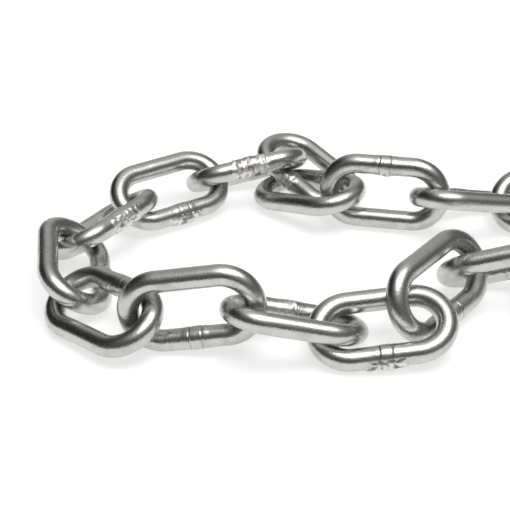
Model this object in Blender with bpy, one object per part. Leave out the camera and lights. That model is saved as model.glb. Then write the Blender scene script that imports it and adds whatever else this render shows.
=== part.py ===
"""One metre of welded steel chain, laid down loosely on a level floor.

Every link is a separate closed ring of round wire: a long oval with a slight butt weld in the middle of one
long side. The links hang in each other, crown in crown, and each one leans on its neighbours and on the floor.
The chain lies in a long loop that is nearly closed at its right-hand end.
"""
import math

import bpy
import numpy as np
from mathutils import Euler, Vector

# Driving dimensions of one link, in metres
WIRE = 0.008
INSIDE_LENGTH = 0.038
OUTSIDE_WIDTH = 0.0314
WELD_LENGTH = 0.006
WELD_SHOULDER = 0.0025
WELD_SWELL = 1.06
TOUCHING_GAP = 0.0003
MILLIMETRE = 0.001

WIRE_RADIUS = WIRE / 2
CROWN_RADIUS = (OUTSIDE_WIDTH - WIRE) / 2
HALF_STRAIGHT = (INSIDE_LENGTH + WIRE) / 2 - CROWN_RADIUS

# How finely the wire is cut: flats round it are 4 + 2 * BEVEL_RESOLUTION
BEVEL_RESOLUTION = 3
CROWN_STEPS = 8

# How the links are settled against each other once they are laid out
SETTLING_SWEEPS = 500
SAMPLES_PER_CHORD = 4
NEIGHBOUR_REACH = 0.055
STEP_SHARE = 0.5

STEEL_COLOUR = (0.50, 0.49, 0.47, 1.0)
STEEL_METALLIC = 1.0
STEEL_ROUGHNESS = 0.24

# Where each link lies, from the front free end, round the left of the loop, to the rear free end.
# A row is the link's middle (x, y, z) in millimetres, then its heading, the rise of its front end and its
# lean about its own length, in degrees. The weld is on the link's right-hand side, seen along its heading.
LAID_LINKS = (
    (124.5, 10.0, 10.5, 80, -12, 20),
    (111.5, -21.0, 12.5, 52, 0, -44),
    (82.5, -37.0, 12.5, 18, 0, 45),
    (50.0, -41.0, 12.5, -4, -2, -42),
    (16.0, -35.5, 14.5, -8, -18, 46),
    (-18.0, -31.5, 16.0, 172, -17, 42),
    (-46.0, -47.0, 16.0, 48, 4, 61),
    (-67.5, -65.0, 10.0, 1, 6, 25),
    (-99.0, -62.0, 12.0, -177, 14, 18),
    (-135.0, -60.5, 17.0, -6, 9, 85),
    (-167.5, -50.0, 10.0, 136, -5, -27),
    (-181.5, -19.0, 11.5, 97, 5, 36),
    (-173.0, 15.0, 10.5, 52, 3, -30),
    (-147.5, 40.0, 12.5, 33, -1, 34),
    (-114.5, 56.5, 12.5, 13, 7, -33),
    (-87.5, 58.0, 10.5, -47, -16, -1),
    (-88.5, 42.0, 9.0, 137, -13, -4),
    (-59.0, 27.0, 16.0, 167, 0, -83),
    (-22.5, 25.0, 12.0, -164, 13, 22),
    (11.5, 27.5, 15.0, -171, -22, -29),
    (46.5, 34.0, 14.0, 12, -18, -46),
    (80.0, 41.5, 12.5, 14, 0, 43),
    (113.0, 48.0, 12.5, 7, 0, -45),
    (146.0, 47.5, 12.5, -12, 0, 44),
    (176.0, 33.5, 12.5, -42, 0, -42),
    (192.5, 3.5, 10.5, -76, -14, 10),
)


def clear_scene():
    """Take every object out of the scene, so that only the chain is in it."""
    for old in list(bpy.data.objects):
        bpy.data.objects.remove(old, do_unlink=True)


def steel_material():
    """Bright drawn steel wire."""
    material = bpy.data.materials.new("bright_steel")
    material.use_nodes = True
    shader = material.node_tree.nodes["Principled BSDF"]
    shader.inputs["Base Color"].default_value = STEEL_COLOUR
    shader.inputs["Metallic"].default_value = STEEL_METALLIC
    shader.inputs["Roughness"].default_value = STEEL_ROUGHNESS
    material.diffuse_color = STEEL_COLOUR
    return material


def crown_points(middle_x, first_angle):
    """The half circle at one end of a link's wire axis, as (x, y, swell) points."""
    points = []
    for step in range(CROWN_STEPS + 1):
        angle = first_angle + math.pi * step / CROWN_STEPS
        x = middle_x + CROWN_RADIUS * math.cos(angle)
        y = CROWN_RADIUS * math.sin(angle)
        points.append((x, y, 1.0))
    return points


def weld_points():
    """The swelling in the middle of the straight side at -y, as (x, y, swell) points."""
    foot = WELD_LENGTH / 2 + WELD_SHOULDER
    crest = WELD_LENGTH / 2
    stations = ((-foot, 1.0), (-crest, WELD_SWELL), (crest, WELD_SWELL), (foot, 1.0))
    return [(x, -CROWN_RADIUS, swell) for x, swell in stations]


def link_outline():
    """The closed axis of one link's wire, lying along x in its own plane."""
    right_crown = crown_points(HALF_STRAIGHT, -math.pi / 2)
    left_crown = crown_points(-HALF_STRAIGHT, math.pi / 2)
    return weld_points() + right_crown + left_crown


def link_curve(outline, material):
    """One link as a closed run of straight chords with a round bevel."""
    curve = bpy.data.curves.new("link", "CURVE")
    curve.dimensions = "3D"
    curve.twist_mode = "Z_UP"
    curve.bevel_depth = WIRE_RADIUS
    curve.bevel_resolution = BEVEL_RESOLUTION
    spline = curve.splines.new("POLY")
    spline.points.add(len(outline) - 1)
    for point, (x, y, swell) in zip(spline.points, outline):
        point.co = (x, y, 0.0, 1.0)
        point.radius = swell
    spline.use_cyclic_u = True
    spline.use_smooth = True
    curve.materials.append(material)
    return curve


def axis_samples(outline):
    """Evenly spread points on the chords of a link's wire axis, and the wire's radius at each."""
    corners = np.array([(x, y, 0.0, WIRE_RADIUS * swell) for x, y, swell in outline])
    following = np.roll(corners, -1, axis=0)
    shares = np.arange(SAMPLES_PER_CHORD) / SAMPLES_PER_CHORD
    samples = np.concatenate([corners + (following - corners) * share for share in shares])
    return samples[:, :3], samples[:, 3]


def link_turn(heading, rise, lean):
    """The turn of a link that points along its heading, with its front end raised and its sides leaning."""
    return Euler((math.radians(lean), -math.radians(rise), math.radians(heading)), "XYZ")


def nearest(first, second):
    """The unit way from one wire axis to another at their nearest points, and how far that is."""
    apart = second[None, :, :] - first[:, None, :]
    distances = np.linalg.norm(apart, axis=2)
    row, column = np.unravel_index(distances.argmin(), distances.shape)
    distance = distances[row, column]
    return apart[row, column] / distance, distance


def settle(middles, axes, radii):
    """Move the laid links, without turning them, until each hangs in the next one and none overlaps.

    Links that hang in each other end up with their wires TOUCHING_GAP apart. Others are only pushed clear, and
    a link that reaches below the floor is lifted onto it.
    """
    wanted = WIRE + TOUCHING_GAP
    count = len(middles)
    for sweep in range(SETTLING_SWEEPS):
        for first in range(count):
            for second in range(first + 1, count):
                hangs_together = second == first + 1
                if np.linalg.norm(middles[second] - middles[first]) > NEIGHBOUR_REACH:
                    continue
                way, distance = nearest(middles[first] + axes[first], middles[second] + axes[second])
                excess = distance - wanted
                if excess > 0 and not hangs_together:
                    continue
                move = way * excess * STEP_SHARE
                middles[first] += move
                middles[second] -= move
        for index in range(count):
            lowest = middles[index][2] + (axes[index][:, 2] - radii).min()
            middles[index][2] += max(0.0, -lowest)
    return middles


def centre_on_floor(middles, axes, radii):
    """Move the whole chain so that its box is centred on the origin and stands on z = 0."""
    reach = radii[:, None]
    low = np.min([(middle + axis - reach).min(axis=0) for middle, axis in zip(middles, axes)], axis=0)
    high = np.max([(middle + axis + reach).max(axis=0) for middle, axis in zip(middles, axes)], axis=0)
    shift = np.array([(low[0] + high[0]) / 2, (low[1] + high[1]) / 2, low[2]])
    return middles - shift


def build_chain():
    """Lay, settle and make all the links."""
    outline = link_outline()
    samples, radii = axis_samples(outline)
    turns = [link_turn(*row[3:]) for row in LAID_LINKS]
    axes = [samples @ np.array(turn.to_matrix()).T for turn in turns]
    middles = np.array([row[:3] for row in LAID_LINKS]) * MILLIMETRE
    middles = settle(middles, axes, radii)
    middles = centre_on_floor(middles, axes, radii)
    curve = link_curve(outline, steel_material())
    for number, (middle, turn) in enumerate(zip(middles, turns), start=1):
        link = bpy.data.objects.new(f"link_{number:02d}", curve)
        link.location = Vector(middle)
        link.rotation_euler = turn
        bpy.context.scene.collection.objects.link(link)


clear_scene()
build_chain()
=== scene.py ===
"""The looks of a metre of bright welded steel chain, laid down loosely on a pale floor.

Every link is one wire, drawn smooth and round, with the collar, the two ring lines and the trimmed flash of
its butt weld. A link lies exactly where its solid lies in the frame.
"""
import math
from typing import NamedTuple

import bpy
import numpy as np
from bpy.props import FloatProperty, FloatVectorProperty, IntProperty, PointerProperty
from bpy.types import Operator, Panel, PropertyGroup
from mathutils import Matrix, Vector


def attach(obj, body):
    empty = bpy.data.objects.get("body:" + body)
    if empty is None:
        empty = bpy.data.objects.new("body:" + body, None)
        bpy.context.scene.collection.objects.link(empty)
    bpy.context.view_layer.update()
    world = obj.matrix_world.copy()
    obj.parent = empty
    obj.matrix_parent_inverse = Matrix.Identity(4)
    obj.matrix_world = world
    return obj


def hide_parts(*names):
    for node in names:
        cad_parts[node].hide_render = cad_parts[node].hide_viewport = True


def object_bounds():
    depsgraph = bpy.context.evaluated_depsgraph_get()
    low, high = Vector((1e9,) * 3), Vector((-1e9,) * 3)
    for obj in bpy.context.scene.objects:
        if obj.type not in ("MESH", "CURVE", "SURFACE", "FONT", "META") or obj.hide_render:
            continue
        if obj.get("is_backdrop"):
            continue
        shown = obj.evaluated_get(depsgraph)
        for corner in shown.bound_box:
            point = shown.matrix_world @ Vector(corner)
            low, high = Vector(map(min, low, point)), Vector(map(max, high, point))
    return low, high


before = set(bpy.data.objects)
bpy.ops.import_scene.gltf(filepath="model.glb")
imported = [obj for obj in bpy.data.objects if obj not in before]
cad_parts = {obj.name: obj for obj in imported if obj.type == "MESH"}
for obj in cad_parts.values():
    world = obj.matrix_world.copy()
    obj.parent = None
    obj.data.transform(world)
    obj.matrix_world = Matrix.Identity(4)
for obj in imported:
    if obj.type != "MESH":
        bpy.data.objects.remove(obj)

bl_info = {
    "name": "Welded chain",
    "version": (1, 0, 0),
    "blender": (4, 5, 0),
    "location": "3D View > Sidebar > Chain",
    "description": "Makes the links of a laid welded chain, and the studio that they lie in",
    "category": "Add Mesh",
}

LINKS = sorted(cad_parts)

# A solid's points are told apart to this many decimals of a metre, and the tip of a crown is what lies within
# this many metres of its farthest point
PLACE_DECIMALS = 7
TIP_DEPTH = 1e-5


class Weld(NamedTuple):
    """How one link's weld was trimmed, in degrees and metres.

    The flash faces straight out of the link at 0 degrees, and a positive angle turns it up to the link's
    upper face. Its breadth is the angle that it takes round the wire on each side of that way. The last
    number is the share of the ring lines that the trimming left.
    """

    facing: float
    breadth: float
    length: float
    height: float
    rings_left: float


# The welds that differ from the common one
WELDS = {
    "link_03": Weld(40, 50, 0.011, 0.0007, 0.8),
    "link_06": Weld(20, 50, 0.009, 0.0006, 0.5),
    "link_08": Weld(-24, 48, 0.016, 0.0010, 1.0),
    "link_09": Weld(125, 28, 0.0045, 0.0003, 0.35),
    "link_11": Weld(-80, 40, 0.010, 0.0004, 0.15),
    "link_12": Weld(60, 40, 0.008, 0.0005, 0.5),
    "link_13": Weld(-25, 58, 0.016, 0.0006, 0.0),
    "link_14": Weld(-12, 56, 0.015, 0.0009, 0.6),
    "link_15": Weld(0, 80, 0.016, 0.0006, 0.1),
    "link_16": Weld(10, 45, 0.010, 0.0005, 0.3),
    "link_18": Weld(150, 35, 0.005, 0.0005, 0.8),
    "link_23": Weld(50, 50, 0.011, 0.0007, 0.8),
}
COMMON_WELD = Weld(-80, 40, 0.010, 0.0007, 0.8)


class Pattern(NamedTuple):
    """A noise pattern: its features to the metre, its detail, and how strong each finer octave is."""

    scale: float
    detail: float
    roughness: float = 0.5


# What the steel shows: its patterns, and from where to where each one rises out of its noise
PATCHES = Pattern(170.0, 4.0, 0.6)
PATCHES_RISE = (0.42, 0.70)
SPECKS = Pattern(1100.0, 2.0, 0.7)
SPECKS_RISE = (0.66, 0.74)
TINTS = Pattern(420.0, 2.0)
BLUE_TO_BROWN = (0.42, 0.58)
# From where to where the painted shade of the weld turns from near black to the brown of the heat tint
SHADE_TO_BROWN = (0.52, 0.68)
LINE_DETAIL = 3.0
LINE_ROUGHNESS = 0.6
PIT_DETAIL = 0.0

# How much each layer of colour covers the one below it
PATCH_COVER = 0.55
SPECK_COVER = 0.5
TINT_COVER = 0.40
FRESH_COVER = 0.8
# The painted shade in the weld's creases and ring lines covers all the layers below it
PAINTED_SHADE_COVER = 0.8

# How much each pattern roughens the steel, and how deep the drawing lines are, as a share of the pits
PATCH_ROUGHENING = 0.07
LINE_ROUGHENING = 0.05
PIT_ROUGHENING = 0.05
LINE_SHARE = 0.15

# How the points of a link are spread: this share evenly, and the others crowded towards its weld
EVEN_SHARE = 0.3

# How the bent wire is out of round
DENTS = Pattern(140.0, 2.0)

# How the ring lines waver and the flash ends along the wire, with the lengths in metres over which they do,
# and half the width of the collar's edge
RING_WAVER = Pattern(260.0, 1.0)
RING_WAVER_REACH = 0.0005
COLLAR_EDGE = 0.0003
FLASH_ENDS = Pattern(330.0, 2.0)
FLASH_ENDS_REACH = 0.0070

# How the flash ends round the wire, in the cosine of the angle from the way that it faces
FLASH_SIDES = Pattern(380.0, 1.0)
FLASH_SIDES_REACH = 0.7
FLASH_SIDE_FADE = 0.12

# Where the flash starts to run out along the wire and where it is gone, as shares of its length
FLASH_RUN_OUT = (0.38, 0.52)

# How a chip of the flash falls off from its middle, how much chips differ in height, and where the crease
# between two chips lies, which is painted dark as shade
CHIP_ROUNDING = 1.3
CHIP_DIFFERENCE = 0.5
CREASE_RISE = (0.50, 0.82)

# From where to where the heat tint fades, in metres from the weld, and how strong it is beside the flash
HEAT_FALL = (0.0035, 0.0095)
BARE_HEAT = 0.35

# How dark the painted shade of a whole ring line is, beside the painted shade of a crease of the flash
RING_SHADE = 0.8

# How far two links lie apart in the patterns, in metres, so that no two show the same
PATTERN_STEP = 0.31

# The room as the steel mirrors it: how bright each part is, and from where to where it comes up or fades, in
# how far a direction reaches to the right (x), away from the camera's side (y) or towards ABOVE_WAY
ROOM_LEVEL = 0.085
BEHIND_LEVEL = 0.42
BEHIND_RISE = (-0.20, 0.50)
BEHIND_MIDDLE = -0.06
BEHIND_FALL = (0.10, 0.60)
RIGHT_LEVEL = 0.07
RIGHT_RISE = (-0.20, 0.60)
CORNER_DARKNESS = 0.70
CORNER_LEFT_RISE = (0.25, 0.75)
CORNER_BACK_RISE = (-0.35, 0.10)
ABOVE_LEVEL = 0.42
ABOVE_WAY = (0.14, -0.12, 0.98)
ABOVE_RISE = (0.55, 0.98)
ROOM_BLUE = 0.985

# Over the softbox the light's own coordinates run from 0 to 1, so this is its middle, and each side lies as
# far from the middle
SOFTBOX_MIDDLE = 0.5

# The floor's finish, the sensor in millimetres, and how near and far the camera sees, in metres
FLOOR_ROUGHNESS = 0.9
FLOOR_GLOW_COLOUR = (1.0, 1.0, 1.0)
SENSOR_WIDTH = 36.0
NEAREST_SEEN = 0.01
FARTHEST_SEEN = 50.0


class ChainLink(PropertyGroup):
    """The sizes of one link and its weld."""

    wire: FloatProperty(
        name="Wire", description="Thickness of the round wire", default=0.008, unit="LENGTH")
    inside_length: FloatProperty(
        name="Inside length", description="Length of the link's eye", default=0.038, unit="LENGTH")
    outside_width: FloatProperty(
        name="Outside width", description="Width over both sides of the link", default=0.0314, unit="LENGTH")
    weld_length: FloatProperty(
        name="Weld length", description="Length of the swollen part of the wire",
        default=0.006, unit="LENGTH")
    weld_shoulder: FloatProperty(
        name="Weld shoulder", description="Length over which the swelling runs out",
        default=0.0025, unit="LENGTH")
    weld_swell: FloatProperty(
        name="Weld swelling", description="How far the weld stands out of the wire",
        default=0.00016, unit="LENGTH")
    collar_length: FloatProperty(
        name="Collar length", description="Distance between the weld's two ring lines",
        default=0.0044, unit="LENGTH")
    collar_height: FloatProperty(
        name="Collar height", description="How far the collar stands out", default=0.00010, unit="LENGTH")
    ring_depth: FloatProperty(
        name="Ring line depth", description="Depth of the lines beside the collar",
        default=0.00022, unit="LENGTH")
    ring_width: FloatProperty(
        name="Ring line width", description="Half width of the lines beside the collar", default=0.00042,
        unit="LENGTH")
    chip: FloatProperty(
        name="Flash chip", description="Width of one chip of the flash", default=0.0019, unit="LENGTH")
    unevenness: FloatProperty(
        name="Unevenness", description="How far the bent wire is out of round",
        default=0.00006, unit="LENGTH")
    stations: IntProperty(
        name="Stations", description="Steps along the wire of one link", default=180, min=24)
    sides: IntProperty(
        name="Sides", description="Steps round the wire", default=80, min=8)


class SteelFinish(PropertyGroup):
    """The colours and the grain of the bright steel."""

    clean: FloatVectorProperty(
        name="Clean steel", description="Colour of the drawn wire", subtype="COLOR", size=3,
        default=(0.565, 0.56, 0.54))
    dull: FloatVectorProperty(
        name="Dull steel", description="Colour of the slightly stained patches", subtype="COLOR", size=3,
        default=(0.40, 0.395, 0.375))
    blued: FloatVectorProperty(
        name="Blued steel", description="Cool heat tint beside the weld", subtype="COLOR", size=3,
        default=(0.36, 0.43, 0.50))
    browned: FloatVectorProperty(
        name="Browned steel", description="Warm heat tint beside the weld", subtype="COLOR", size=3,
        default=(0.46, 0.38, 0.30))
    fresh: FloatVectorProperty(
        name="Fresh steel", description="Colour of the flash where it was trimmed", subtype="COLOR", size=3,
        default=(0.78, 0.77, 0.74))
    # The near-black colour of the painted shade in the weld's creases and ring lines
    painted_shade_colour: FloatVectorProperty(
        name="Painted shade", description="Colour of the creases and ring lines of the weld",
        subtype="COLOR", size=3, default=(0.068, 0.074, 0.082))
    roughness: FloatProperty(
        name="Roughness", description="Roughness of the drawn wire", default=0.20, min=0.0, max=1.0)
    weld_roughness: FloatProperty(
        name="Weld roughness", description="Roughness of the trimmed flash", default=0.38, min=0.0, max=1.0)
    line_width: FloatProperty(
        name="Drawing line width", description="Width of the lines along the wire",
        default=0.0004, unit="LENGTH")
    line_length: FloatProperty(
        name="Drawing line length", description="Length of the lines along the wire",
        default=0.012, unit="LENGTH")
    grain: FloatProperty(
        name="Grain", description="Size of the fine pitting", default=0.00066, unit="LENGTH")
    grain_depth: FloatProperty(
        name="Grain depth", description="Depth of the fine pitting", default=0.00003, unit="LENGTH")


class Studio(PropertyGroup):
    """The floor, the lights and the camera."""

    floor_colour: FloatVectorProperty(
        name="Floor", description="Colour of the pale floor",
        subtype="COLOR", size=3, default=(0.90, 0.90, 0.90))
    floor_glow: FloatProperty(
        name="Floor glow", description="Light that the table gives from below", default=0.60, min=0.0)
    floor_share: FloatProperty(
        name="Floor answer", description="Share of the light from above that the floor returns",
        default=0.70)
    floor_size: FloatProperty(
        name="Floor size", description="Side of the square floor", default=14.0, unit="LENGTH")
    softbox_width: FloatProperty(
        name="Softbox width", description="Width of the overhead softbox", default=1.46, unit="LENGTH")
    softbox_depth: FloatProperty(
        name="Softbox depth", description="Depth of the overhead softbox", default=1.16, unit="LENGTH")
    softbox_azimuth: FloatProperty(
        name="Softbox azimuth", description="Turn of the softbox to the right of the camera's side",
        default=math.radians(20), subtype="ANGLE")
    softbox_height: FloatProperty(
        name="Softbox height", description="Angle of the softbox above the floor", default=math.radians(76),
        subtype="ANGLE")
    softbox_distance: FloatProperty(
        name="Softbox distance", description="From the chain to the softbox", default=1.2, unit="LENGTH")
    softbox_power: FloatProperty(
        name="Softbox power", description="Power of the overhead softbox", default=20.5, unit="POWER")
    softbox_core: FloatProperty(
        name="Softbox core", description="How far from its middle the softbox is even, as a share of its size",
        default=0.14, min=0.0, max=0.5)
    focal_length: FloatProperty(
        name="Focal length", description="Focal length on a 36 mm wide sensor", default=89.75, unit="CAMERA")
    elevation: FloatProperty(
        name="Camera elevation", description="How far the camera looks down", default=math.radians(30.23),
        subtype="ANGLE")
    roll: FloatProperty(
        name="Camera roll", description="How far the camera is tipped", default=math.radians(-1.27),
        subtype="ANGLE")
    camera_place: FloatVectorProperty(
        name="Camera place", description="Where the camera stands",
        subtype="TRANSLATION", unit="LENGTH", size=3, default=(-0.1199, -0.4395, 0.2588))


# The places of a Mix node's sockets for colours, which share their names with those for numbers
MIX_FIRST = 6
MIX_SECOND = 7
MIX_RESULT = 2


class Value:
    """A number in a node tree, on which Python's own operators work."""

    def __init__(self, sheet, socket):
        self.sheet = sheet
        self.socket = socket

    def math(self, operation, *others):
        """One Math node on this number and the others."""
        return self.sheet.math(operation, self, *others)

    def __add__(self, other):
        return self.math("ADD", other)

    def __radd__(self, other):
        return self.sheet.math("ADD", other, self)

    def __sub__(self, other):
        return self.math("SUBTRACT", other)

    def __rsub__(self, other):
        return self.sheet.math("SUBTRACT", other, self)

    def __mul__(self, other):
        return self.math("MULTIPLY", other)

    def __rmul__(self, other):
        return self.sheet.math("MULTIPLY", other, self)

    def __truediv__(self, other):
        return self.math("DIVIDE", other)

    def __rtruediv__(self, other):
        return self.sheet.math("DIVIDE", other, self)

    def __neg__(self):
        return self.math("MULTIPLY", -1.0)

    def sin(self):
        return self.math("SINE")

    def cos(self):
        return self.math("COSINE")

    def size(self):
        """This number without its sign."""
        return self.math("ABSOLUTE")

    def between(self, low, high):
        """This number, held between two others."""
        return self.math("MAXIMUM", low).math("MINIMUM", high)

    def rise(self, start, end):
        """0 below start, 1 above end, and a smooth rise between them."""
        node = self.sheet.node(
            "ShaderNodeMapRange", {"interpolation_type": "SMOOTHSTEP"},
            {"Value": self, "From Min": start, "From Max": end})
        return Value(self.sheet, node.outputs["Result"])

    def fall(self, start, end):
        """1 below start, 0 above end, and a smooth fall between them."""
        return 1 - self.rise(start, end)


class Sheet:
    """A node tree that is being drawn up, for a material or for geometry."""

    def __init__(self, tree):
        self.tree = tree

    def node(self, kind, settings, sockets):
        """Add a node: its settings first, then the values or links of its sockets, by name or by place."""
        node = self.tree.nodes.new(kind)
        for name, value in settings.items():
            setattr(node, name, value)
        for name, value in sockets.items():
            self.feed(node.inputs[name], value)
        return node

    def feed(self, socket, value):
        """Give a socket a number, a colour, a vector or a link."""
        if isinstance(value, Value):
            value = value.socket
        if isinstance(value, bpy.types.NodeSocket):
            self.tree.links.new(value, socket)
        else:
            socket.default_value = value

    def math(self, operation, *values):
        node = self.node("ShaderNodeMath", {"operation": operation}, dict(enumerate(values)))
        return Value(self, node.outputs["Value"])

    def vector(self, x, y, z):
        return self.node("ShaderNodeCombineXYZ", {}, {"X": x, "Y": y, "Z": z}).outputs["Vector"]

    def parts(self, vector):
        """The x, y and z of a vector socket."""
        node = self.node("ShaderNodeSeparateXYZ", {}, {"Vector": vector})
        return [Value(self, node.outputs[name]) for name in "XYZ"]

    def vector_math(self, operation, *vectors):
        node = self.node("ShaderNodeVectorMath", {"operation": operation}, dict(enumerate(vectors)))
        return node.outputs["Vector"]

    def share_along(self, vector, way):
        """How far a vector reaches along a way."""
        node = self.node("ShaderNodeVectorMath", {"operation": "DOT_PRODUCT"}, {0: vector, 1: way})
        return Value(self, node.outputs["Value"])

    def noise(self, vector, pattern):
        """Smooth noise from 0 to 1."""
        node = self.node(
            "ShaderNodeTexNoise", {"noise_dimensions": "3D"},
            {"Vector": vector, "Scale": pattern.scale, "Detail": pattern.detail,
             "Roughness": pattern.roughness})
        return Value(self, node.outputs["Fac"])

    def waver(self, vector, pattern):
        """Smooth noise to both sides of 0, from -0.5 to 0.5."""
        return self.noise(vector, pattern) - 0.5

    def cells(self, vector, scale):
        """Cells, so many to the metre: how far a point is from its cell's middle, and a number per cell."""
        node = self.node("ShaderNodeTexVoronoi", {"feature": "F1"}, {"Vector": vector, "Scale": scale})
        return Value(self, node.outputs["Distance"]), self.parts(node.outputs["Color"])[0]

    def mix(self, factor, first, second):
        """A colour between two others."""
        node = self.node(
            "ShaderNodeMix", {"data_type": "RGBA"}, {"Factor": factor, MIX_FIRST: first, MIX_SECOND: second})
        return node.outputs[MIX_RESULT]


def colour(rgb):
    """A colour property as a socket takes it."""
    return (*rgb, 1.0)


def steel_material(finish):
    """Bright drawn steel wire: lines along it, pitting, dull patches, heat tints, and painted shade in the
    creases and ring lines of the weld.
    """
    material = bpy.data.materials.new("bright_steel_wire")
    material.use_nodes = True
    material.node_tree.nodes.clear()
    sheet = Sheet(material.node_tree)
    along_wire = sheet.node("ShaderNodeAttribute", {"attribute_name": "wire_place"}, {}).outputs["Vector"]
    # The weld's flash, its heat tint, and where its creases and ring lines get painted shade
    flash, heat, painted_shade = [
        Value(sheet, sheet.node("ShaderNodeAttribute", {"attribute_name": name}, {}).outputs["Fac"])
        for name in ("flash", "heat", "painted_shade")]
    stretch = finish.line_width / finish.line_length
    stretched = sheet.vector_math("MULTIPLY", along_wire, (stretch, 1.0, 1.0))
    lines = sheet.noise(stretched, Pattern(1 / finish.line_width, LINE_DETAIL, LINE_ROUGHNESS))
    pitting = sheet.noise(along_wire, Pattern(1 / finish.grain, PIT_DETAIL))
    patches = sheet.noise(along_wire, PATCHES).rise(*PATCHES_RISE)
    specks = sheet.noise(along_wire, SPECKS).rise(*SPECKS_RISE)
    tint = sheet.noise(along_wire, TINTS)

    steel = sheet.mix(patches * PATCH_COVER, colour(finish.clean), colour(finish.dull))
    steel = sheet.mix(specks * SPECK_COVER, steel, colour(finish.dull))
    tinted = sheet.mix(tint.rise(*BLUE_TO_BROWN), colour(finish.blued), colour(finish.browned))
    steel = sheet.mix(heat * TINT_COVER, steel, tinted)
    steel = sheet.mix(flash * FRESH_COVER, steel, colour(finish.fresh))
    # Painted shade in the creases and ring lines of the weld, brown in places like the heat tint
    tinted_painted_shade = sheet.mix(tint.rise(*SHADE_TO_BROWN), colour(finish.painted_shade_colour), colour(finish.browned))
    steel = sheet.mix(painted_shade * PAINTED_SHADE_COVER, steel, tinted_painted_shade)
    roughness = finish.roughness + patches * PATCH_ROUGHENING + lines * LINE_ROUGHENING
    roughness = roughness + pitting * PIT_ROUGHENING + flash * (finish.weld_roughness - finish.roughness)
    bump = sheet.node(
        "ShaderNodeBump", {},
        {"Strength": 1.0, "Distance": finish.grain_depth, "Height": lines * LINE_SHARE + pitting})
    shader = sheet.node(
        "ShaderNodeBsdfPrincipled", {},
        {"Base Color": steel, "Metallic": 1.0, "Roughness": roughness, "Normal": bump.outputs["Normal"]})
    sheet.node("ShaderNodeOutputMaterial", {}, {"Surface": shader.outputs["BSDF"]})
    material.diffuse_color = colour(finish.clean)
    return material


LINK_INPUTS = (
    ("Wire", "NodeSocketFloat"),
    ("Inside Length", "NodeSocketFloat"),
    ("Outside Width", "NodeSocketFloat"),
    ("Weld Length", "NodeSocketFloat"),
    ("Weld Shoulder", "NodeSocketFloat"),
    ("Weld Swelling", "NodeSocketFloat"),
    ("Collar Length", "NodeSocketFloat"),
    ("Collar Height", "NodeSocketFloat"),
    ("Ring Depth", "NodeSocketFloat"),
    ("Ring Width", "NodeSocketFloat"),
    ("Ring Darkness", "NodeSocketFloat"),
    ("Flash Length", "NodeSocketFloat"),
    ("Flash Height", "NodeSocketFloat"),
    ("Flash Facing", "NodeSocketFloat"),
    ("Flash Breadth", "NodeSocketFloat"),
    ("Flash Chip", "NodeSocketFloat"),
    ("Unevenness", "NodeSocketFloat"),
    ("Stations", "NodeSocketInt"),
    ("Sides", "NodeSocketInt"),
    ("Seed", "NodeSocketFloat"),
    ("Steel", "NodeSocketMaterial"),
)


def link_tree():
    """The geometry nodes that draw one link: a round wire along a long oval, with its butt weld."""
    tree = bpy.data.node_groups.new("welded_link", "GeometryNodeTree")
    for name, kind in LINK_INPUTS:
        tree.interface.new_socket(name=name, in_out="INPUT", socket_type=kind)
    tree.interface.new_socket(name="Geometry", in_out="OUTPUT", socket_type="NodeSocketGeometry")
    sheet = Sheet(tree)
    given = tree.nodes.new("NodeGroupInput").outputs
    sizes = {name: Value(sheet, given[name]) for name, kind in LINK_INPUTS}
    oval = wire_axis(sheet, sizes)
    wire = sheet.node(
        "GeometryNodeCurveToMesh", {},
        {"Curve": oval, "Profile Curve": wire_section(sheet, sizes)}).outputs["Mesh"]
    wire = welded_surface(sheet, sizes, wire)
    wire = sheet.node("GeometryNodeRealizeInstances", {}, {"Geometry": wire}).outputs["Geometry"]
    wire = sheet.node(
        "GeometryNodeSetShadeSmooth", {}, {"Geometry": wire, "Shade Smooth": True}).outputs["Geometry"]
    wire = sheet.node(
        "GeometryNodeSetMaterial", {}, {"Geometry": wire, "Material": sizes["Steel"]}).outputs["Geometry"]
    sheet.node("NodeGroupOutput", {}, {"Geometry": wire})
    return tree


def keep(sheet, geometry, name, value, kind="FLOAT"):
    """Store a value on the points of some geometry, under a name."""
    node = sheet.node(
        "GeometryNodeStoreNamedAttribute", {"data_type": kind, "domain": "POINT"},
        {"Geometry": geometry, "Name": name, "Value": value})
    return node.outputs["Geometry"]


def recall(sheet, name, kind="FLOAT"):
    """A value that keep() stored."""
    node = sheet.node("GeometryNodeInputNamedAttribute", {"data_type": kind}, {"Name": name})
    return node.outputs["Attribute"]


def wire_section(sheet, sizes):
    """The round section of the wire."""
    node = sheet.node(
        "GeometryNodeCurvePrimitiveCircle", {"mode": "RADIUS"},
        {"Resolution": sizes["Sides"], "Radius": sizes["Wire"] / 2})
    return node.outputs["Curve"]


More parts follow.
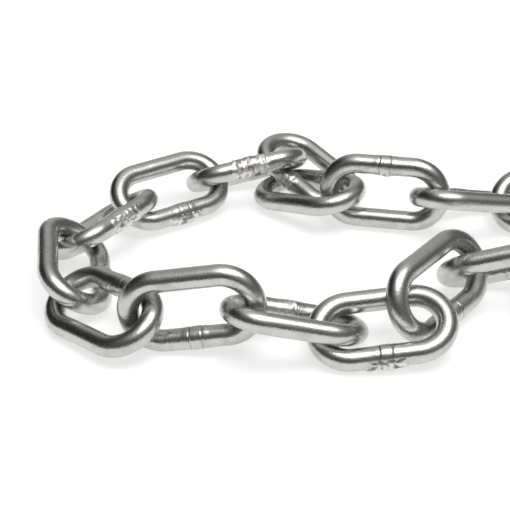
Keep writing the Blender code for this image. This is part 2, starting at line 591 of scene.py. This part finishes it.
def wire_axis(sheet, sizes):
    """The long oval that the wire follows. Its points crowd towards the weld, midway along the side at -y."""
    crown_radius = (sizes["Outside Width"] - sizes["Wire"]) / 2
    half_straight = (sizes["Inside Length"] + sizes["Wire"]) / 2 - crown_radius
    crown_arc = crown_radius * math.pi
    half_round = half_straight * 2 + crown_arc
    ring = sheet.node(
        "GeometryNodeCurvePrimitiveCircle", {"mode": "RADIUS"},
        {"Resolution": sizes["Stations"]}).outputs["Curve"]
    index = Value(sheet, sheet.node("GeometryNodeInputIndex", {}, {}).outputs["Index"])
    share = index / sizes["Stations"] * 2 - 1
    crowded = share * EVEN_SHARE + share * share * share * (1 - EVEN_SHARE)
    from_weld = half_round * crowded
    travelled = from_weld + half_round * 2 * from_weld.math("LESS_THAN", 0.0)
    heading = (travelled - half_straight).between(0.0, crown_arc) / crown_radius
    heading = heading + (travelled - half_straight * 3 - crown_arc).between(0.0, crown_arc) / crown_radius
    run = travelled.between(0.0, half_straight)
    run = run - (travelled - half_straight - crown_arc).between(0.0, half_straight * 2)
    run = run + (travelled - half_straight * 3 - crown_arc * 2).between(0.0, half_straight)
    place = sheet.vector(run + crown_radius * heading.sin(), -(crown_radius * heading.cos()), 0.0)
    outward = sheet.vector(heading.sin(), -heading.cos(), 0.0)
    ring = keep(sheet, ring, "from_weld", from_weld)
    ring = keep(sheet, ring, "travelled", travelled)
    ring = keep(sheet, ring, "outward", outward, "FLOAT_VECTOR")
    ring = keep(sheet, ring, "axis", place, "FLOAT_VECTOR")
    axis = recall(sheet, "axis", "FLOAT_VECTOR")
    return sheet.node("GeometryNodeSetPosition", {}, {"Geometry": ring, "Position": axis}).outputs["Geometry"]


def weld_rings(sheet, sizes, weld_place, distance):
    """The collar in the middle of the weld and the ring lines at its ends, each from 0 to 1."""
    wavering = distance + sheet.waver(weld_place, RING_WAVER) * RING_WAVER_REACH
    from_ring = wavering - sizes["Collar Length"] / 2
    return from_ring.fall(-COLLAR_EDGE, COLLAR_EDGE), from_ring.size().fall(0.0, sizes["Ring Width"])


def weld_flash(sheet, sizes, weld_place, ragged, outward, upward):
    """Where the flash was left, how high its chips stand there, and the creases between them, which get
    painted shade, from 0 to 1.
    """
    start, end = FLASH_RUN_OUT
    flash = ragged.fall(sizes["Flash Length"] * start, sizes["Flash Length"] * end)
    facing = outward * sizes["Flash Facing"].cos() + upward * sizes["Flash Facing"].sin()
    facing = facing + sheet.waver(weld_place, FLASH_SIDES) * FLASH_SIDES_REACH
    side = sizes["Flash Breadth"].cos()
    flash = flash * facing.rise(side - FLASH_SIDE_FADE, side + FLASH_SIDE_FADE)
    from_middle, chip = sheet.cells(weld_place, 1 / sizes["Flash Chip"])
    rounded = 1 - from_middle * from_middle * CHIP_ROUNDING
    chips = rounded * (1 - CHIP_DIFFERENCE) + chip * CHIP_DIFFERENCE
    # The third share is where the creases between the chips get painted shade
    return flash, flash * chips, flash * from_middle.rise(*CREASE_RISE)


def welded_surface(sheet, sizes, wire):
    """Raise the weld on the plain wire, and store what the steel needs to know of each point."""
    place = sheet.node("GeometryNodeInputPosition", {}, {}).outputs["Position"]
    axis = recall(sheet, "axis", "FLOAT_VECTOR")
    radial = sheet.vector_math("NORMALIZE", sheet.vector_math("SUBTRACT", place, axis))
    outward = sheet.share_along(radial, recall(sheet, "outward", "FLOAT_VECTOR"))
    upward = sheet.parts(radial)[2]
    radius = sizes["Wire"] / 2
    wire = keep(sheet, wire, "radial", radial, "FLOAT_VECTOR")
    travelled = Value(sheet, recall(sheet, "travelled"))
    wire_place = sheet.vector(travelled + sizes["Seed"], outward * radius, upward * radius)
    wire = keep(sheet, wire, "wire_place", wire_place, "FLOAT_VECTOR")

    from_weld = Value(sheet, recall(sheet, "from_weld"))
    weld_place = sheet.vector(from_weld + sizes["Seed"], outward * radius, upward * radius)
    distance = from_weld.size()
    half_weld = sizes["Weld Length"] / 2
    swelling = distance.fall(half_weld, half_weld + sizes["Weld Shoulder"])
    collar, ring_lines = weld_rings(sheet, sizes, weld_place, distance)
    ragged = distance + sheet.waver(weld_place, FLASH_ENDS) * FLASH_ENDS_REACH
    flash, chips, creases = weld_flash(sheet, sizes, weld_place, ragged, outward, upward)
    dents = sheet.waver(recall(sheet, "wire_place", "FLOAT_VECTOR"), DENTS) * 2

    height = swelling * sizes["Weld Swelling"] + collar * sizes["Collar Height"]
    height = height - ring_lines * sizes["Ring Depth"] + chips * sizes["Flash Height"]
    height = height + dents * sizes["Unevenness"]
    heat = ragged.fall(*HEAT_FALL) * (BARE_HEAT + flash * (1 - BARE_HEAT))
    # Painted shade in the creases of the flash and in the ring lines
    painted_shade = creases + ring_lines * sizes["Ring Darkness"] * RING_SHADE

    wire = keep(sheet, wire, "flash", flash)
    wire = keep(sheet, wire, "heat", heat)
    # The painted shade of the weld, kept for the steel
    wire = keep(sheet, wire, "painted_shade", painted_shade.between(0.0, 1.0))
    wire = keep(sheet, wire, "height", height)
    lift = sheet.node(
        "ShaderNodeVectorMath", {"operation": "SCALE"},
        {0: recall(sheet, "radial", "FLOAT_VECTOR"), "Scale": recall(sheet, "height")}).outputs["Vector"]
    return sheet.node("GeometryNodeSetPosition", {}, {"Geometry": wire, "Offset": lift}).outputs["Geometry"]


def solid_points(node):
    """Every point of a link's solid, once."""
    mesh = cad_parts[node].data
    flat = np.empty(len(mesh.vertices) * 3)
    mesh.vertices.foreach_get("co", flat)
    return np.unique(flat.reshape(-1, 3).round(PLACE_DECIMALS), axis=0)


def box_middle(points):
    """The middle of the box round some points."""
    return (points.max(axis=0) + points.min(axis=0)) / 2


def link_place(node):
    """Where a link's solid lies: x along the link, -y to its weld, and z to the face that is turned up."""
    points = solid_points(node)
    middle = box_middle(points)
    thin, across, along = np.linalg.eigh(np.cov((points - middle).T)).eigenvectors.T
    upward = thin if thin[2] > 0 else -thin
    ways = np.array([along, across, upward])
    own = (points - middle) @ ways.T
    centre = box_middle(own)

    # The swelling shifts the middle of the width, and the tips of the two crowns show where it really is
    from_middle = np.abs(own[:, 0] - centre[0])
    centre[1] = own[from_middle > from_middle.max() - TIP_DEPTH, 1].mean()
    place = middle + centre @ ways

    # The side with the weld reaches farther
    widths = own[:, 1] - centre[1]
    if widths.max() >= -widths.min():
        across = -across
    turn = np.array([np.cross(across, upward), across, upward]).T
    return Matrix.Translation(Vector(place)) @ Matrix(turn.tolist()).to_4x4()


def make_link(node, number, tree, material, sizes):
    """One link as a plain mesh, lying where its solid lies."""
    draft = bpy.data.objects.new(f"draft_{node}", bpy.data.meshes.new("draft"))
    bpy.context.scene.collection.objects.link(draft)
    modifier = draft.modifiers.new("Welded link", "NODES")
    modifier.node_group = tree
    weld = WELDS.get(node, COMMON_WELD)
    given = {
        "Wire": sizes.wire,
        "Inside Length": sizes.inside_length,
        "Outside Width": sizes.outside_width,
        "Weld Length": sizes.weld_length,
        "Weld Shoulder": sizes.weld_shoulder,
        "Weld Swelling": sizes.weld_swell,
        "Collar Length": sizes.collar_length,
        "Collar Height": sizes.collar_height,
        "Ring Depth": sizes.ring_depth * weld.rings_left,
        "Ring Darkness": weld.rings_left,
        "Ring Width": sizes.ring_width,
        "Flash Length": weld.length,
        "Flash Height": weld.height,
        "Flash Facing": math.radians(weld.facing),
        "Flash Breadth": math.radians(weld.breadth),
        "Flash Chip": sizes.chip,
        "Unevenness": sizes.unevenness,
        "Stations": sizes.stations,
        "Sides": sizes.sides,
        "Seed": number * PATTERN_STEP,
        "Steel": material,
    }
    for item in tree.interface.items_tree:
        if item.in_out == "INPUT":
            modifier[item.identifier] = given[item.name]
    finished = draft.evaluated_get(bpy.context.evaluated_depsgraph_get())
    mesh = bpy.data.meshes.new_from_object(finished)
    bpy.data.objects.remove(draft, do_unlink=True)
    mesh.transform(link_place(node))
    mesh.name = f"chain_{node}"
    piece = bpy.data.objects.new(f"chain_{node}", mesh)
    bpy.context.scene.collection.objects.link(piece)
    return piece


class CHAIN_OT_links(Operator):
    """Draw every link of the chain where its solid lies"""

    bl_idname = "chain.links"
    bl_label = "Make the links"

    def execute(self, context):
        sizes = context.scene.chain_link
        material = steel_material(context.scene.chain_steel)
        tree = link_tree()
        for number, node in enumerate(LINKS, start=1):
            piece = make_link(node, number, tree, material, sizes)
            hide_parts(node)
            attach(piece, "root")
        return {"FINISHED"}


def floor_material(studio):
    """A plain pale table that is lit from below as well as from above."""
    material = bpy.data.materials.new("pale_floor")
    material.use_nodes = True
    material.node_tree.nodes.clear()
    sheet = Sheet(material.node_tree)
    answer = colour([part * studio.floor_share for part in studio.floor_colour])
    shader = sheet.node(
        "ShaderNodeBsdfPrincipled", {},
        {"Base Color": answer, "Roughness": FLOOR_ROUGHNESS, "Specular IOR Level": 0.0,
         "Emission Color": colour(FLOOR_GLOW_COLOUR), "Emission Strength": studio.floor_glow})
    sheet.node("ShaderNodeOutputMaterial", {}, {"Surface": shader.outputs["BSDF"]})
    return material


def make_floor(studio):
    """The floor, just under the lowest link."""
    low_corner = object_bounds()[0]
    half = studio.floor_size / 2
    mesh = bpy.data.meshes.new("floor")
    corners = [(-half, -half), (half, -half), (half, half), (-half, half)]
    level = min(low_corner[2], 0.0)
    mesh.from_pydata([(x, y, level) for x, y in corners], [], [(0, 1, 2, 3)])
    mesh.materials.append(floor_material(studio))
    floor = bpy.data.objects.new("floor", mesh)
    bpy.context.scene.collection.objects.link(floor)
    floor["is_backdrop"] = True


def make_softbox(studio):
    """The softbox over the chain. It fades towards its sides, so the wires mirror it without a hard edge."""
    light = bpy.data.lights.new("softbox", "AREA")
    light.shape = "RECTANGLE"
    light.size = studio.softbox_width
    light.size_y = studio.softbox_depth
    light.energy = studio.softbox_power
    light.use_nodes = True
    light.node_tree.nodes.clear()
    sheet = Sheet(light.node_tree)
    places = sheet.parts(sheet.node("ShaderNodeNewGeometry", {}, {}).outputs["Parametric"])[:2]
    across, along = [
        (place - SOFTBOX_MIDDLE).size().fall(studio.softbox_core, SOFTBOX_MIDDLE) for place in places]
    emission = sheet.node("ShaderNodeEmission", {}, {"Strength": across * along})
    sheet.node("ShaderNodeOutputLight", {}, {"Surface": emission.outputs["Emission"]})
    lamp = bpy.data.objects.new("softbox", light)
    azimuth = studio.softbox_azimuth
    height = studio.softbox_height
    way = Vector((
        math.sin(azimuth) * math.cos(height), -math.cos(azimuth) * math.cos(height), math.sin(height)))
    lamp.location = way * studio.softbox_distance
    lamp.rotation_euler = (-way).to_track_quat("-Z", "Y").to_euler()
    bpy.context.scene.collection.objects.link(lamp)


def make_surroundings():
    """The dim room: grey behind the chain and over it, darkest behind on the left, and white to the eye."""
    world = bpy.data.worlds.new("studio")
    bpy.context.scene.world = world
    world.use_nodes = True
    world.node_tree.nodes.clear()
    sheet = Sheet(world.node_tree)
    way = sheet.node("ShaderNodeTexCoord", {}, {}).outputs["Generated"]
    x, y = sheet.parts(way)[:2]
    behind = y.rise(*BEHIND_RISE) * (x - BEHIND_MIDDLE).size().fall(*BEHIND_FALL)
    dark_corner = (-x).rise(*CORNER_LEFT_RISE) * y.rise(*CORNER_BACK_RISE)
    above = sheet.share_along(way, ABOVE_WAY).rise(*ABOVE_RISE)
    level = ROOM_LEVEL + behind * BEHIND_LEVEL + x.rise(*RIGHT_RISE) * RIGHT_LEVEL
    level = level * (1 - dark_corner * CORNER_DARKNESS) + above * ABOVE_LEVEL
    to_eye = Value(sheet, sheet.node("ShaderNodeLightPath", {}, {}).outputs["Is Camera Ray"])
    level = level * (1 - to_eye) + to_eye
    tone = sheet.vector(level, level, level * ROOM_BLUE)
    background = sheet.node("ShaderNodeBackground", {}, {"Color": tone, "Strength": 1.0})
    sheet.node("ShaderNodeOutputWorld", {}, {"Surface": background.outputs["Background"]})


def make_camera(studio):
    """The camera, at the photograph's viewing angle."""
    lens = bpy.data.cameras.new("camera")
    lens.sensor_width = SENSOR_WIDTH
    lens.lens = studio.focal_length
    lens.clip_start = NEAREST_SEEN
    lens.clip_end = FARTHEST_SEEN
    camera = bpy.data.objects.new("camera", lens)
    look_down = Matrix.Rotation(math.pi / 2 - studio.elevation, 4, "X")
    tip = Matrix.Rotation(studio.roll, 4, "Z")
    camera.matrix_world = Matrix.Translation(studio.camera_place) @ look_down @ tip
    bpy.context.scene.collection.objects.link(camera)
    bpy.context.scene.camera = camera


class CHAIN_OT_stage(Operator):
    """Make the floor, the lights and the camera"""

    bl_idname = "chain.stage"
    bl_label = "Make the studio"

    def execute(self, context):
        studio = context.scene.chain_studio
        context.scene.view_settings.view_transform = "Standard"
        make_floor(studio)
        make_surroundings()
        make_softbox(studio)
        make_camera(studio)
        return {"FINISHED"}


class CHAIN_PT_panel(Panel):
    """The chain's sizes, colours and steps"""

    bl_idname = "CHAIN_PT_panel"
    bl_label = "Welded chain"
    bl_space_type = "VIEW_3D"
    bl_region_type = "UI"
    bl_category = "Chain"

    def draw(self, context):
        groups = (
            (context.scene.chain_link, "chain.links"),
            (context.scene.chain_steel, None),
            (context.scene.chain_studio, "chain.stage"),
        )
        for group, step in groups:
            box = self.layout.box()
            for name in group.__annotations__:
                box.prop(group, name)
            if step:
                box.operator(step)


CLASSES = (ChainLink, SteelFinish, Studio, CHAIN_OT_links, CHAIN_OT_stage, CHAIN_PT_panel)


def register():
    for part in CLASSES:
        bpy.utils.register_class(part)
    bpy.types.Scene.chain_link = PointerProperty(type=ChainLink)
    bpy.types.Scene.chain_steel = PointerProperty(type=SteelFinish)
    bpy.types.Scene.chain_studio = PointerProperty(type=Studio)


def unregister():
    del bpy.types.Scene.chain_link
    del bpy.types.Scene.chain_steel
    del bpy.types.Scene.chain_studio
    for part in reversed(CLASSES):
        bpy.utils.unregister_class(part)


def main():
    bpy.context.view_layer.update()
    register()
    bpy.ops.chain.links()
    bpy.ops.chain.stage()


if __name__ == "__main__":
    main()
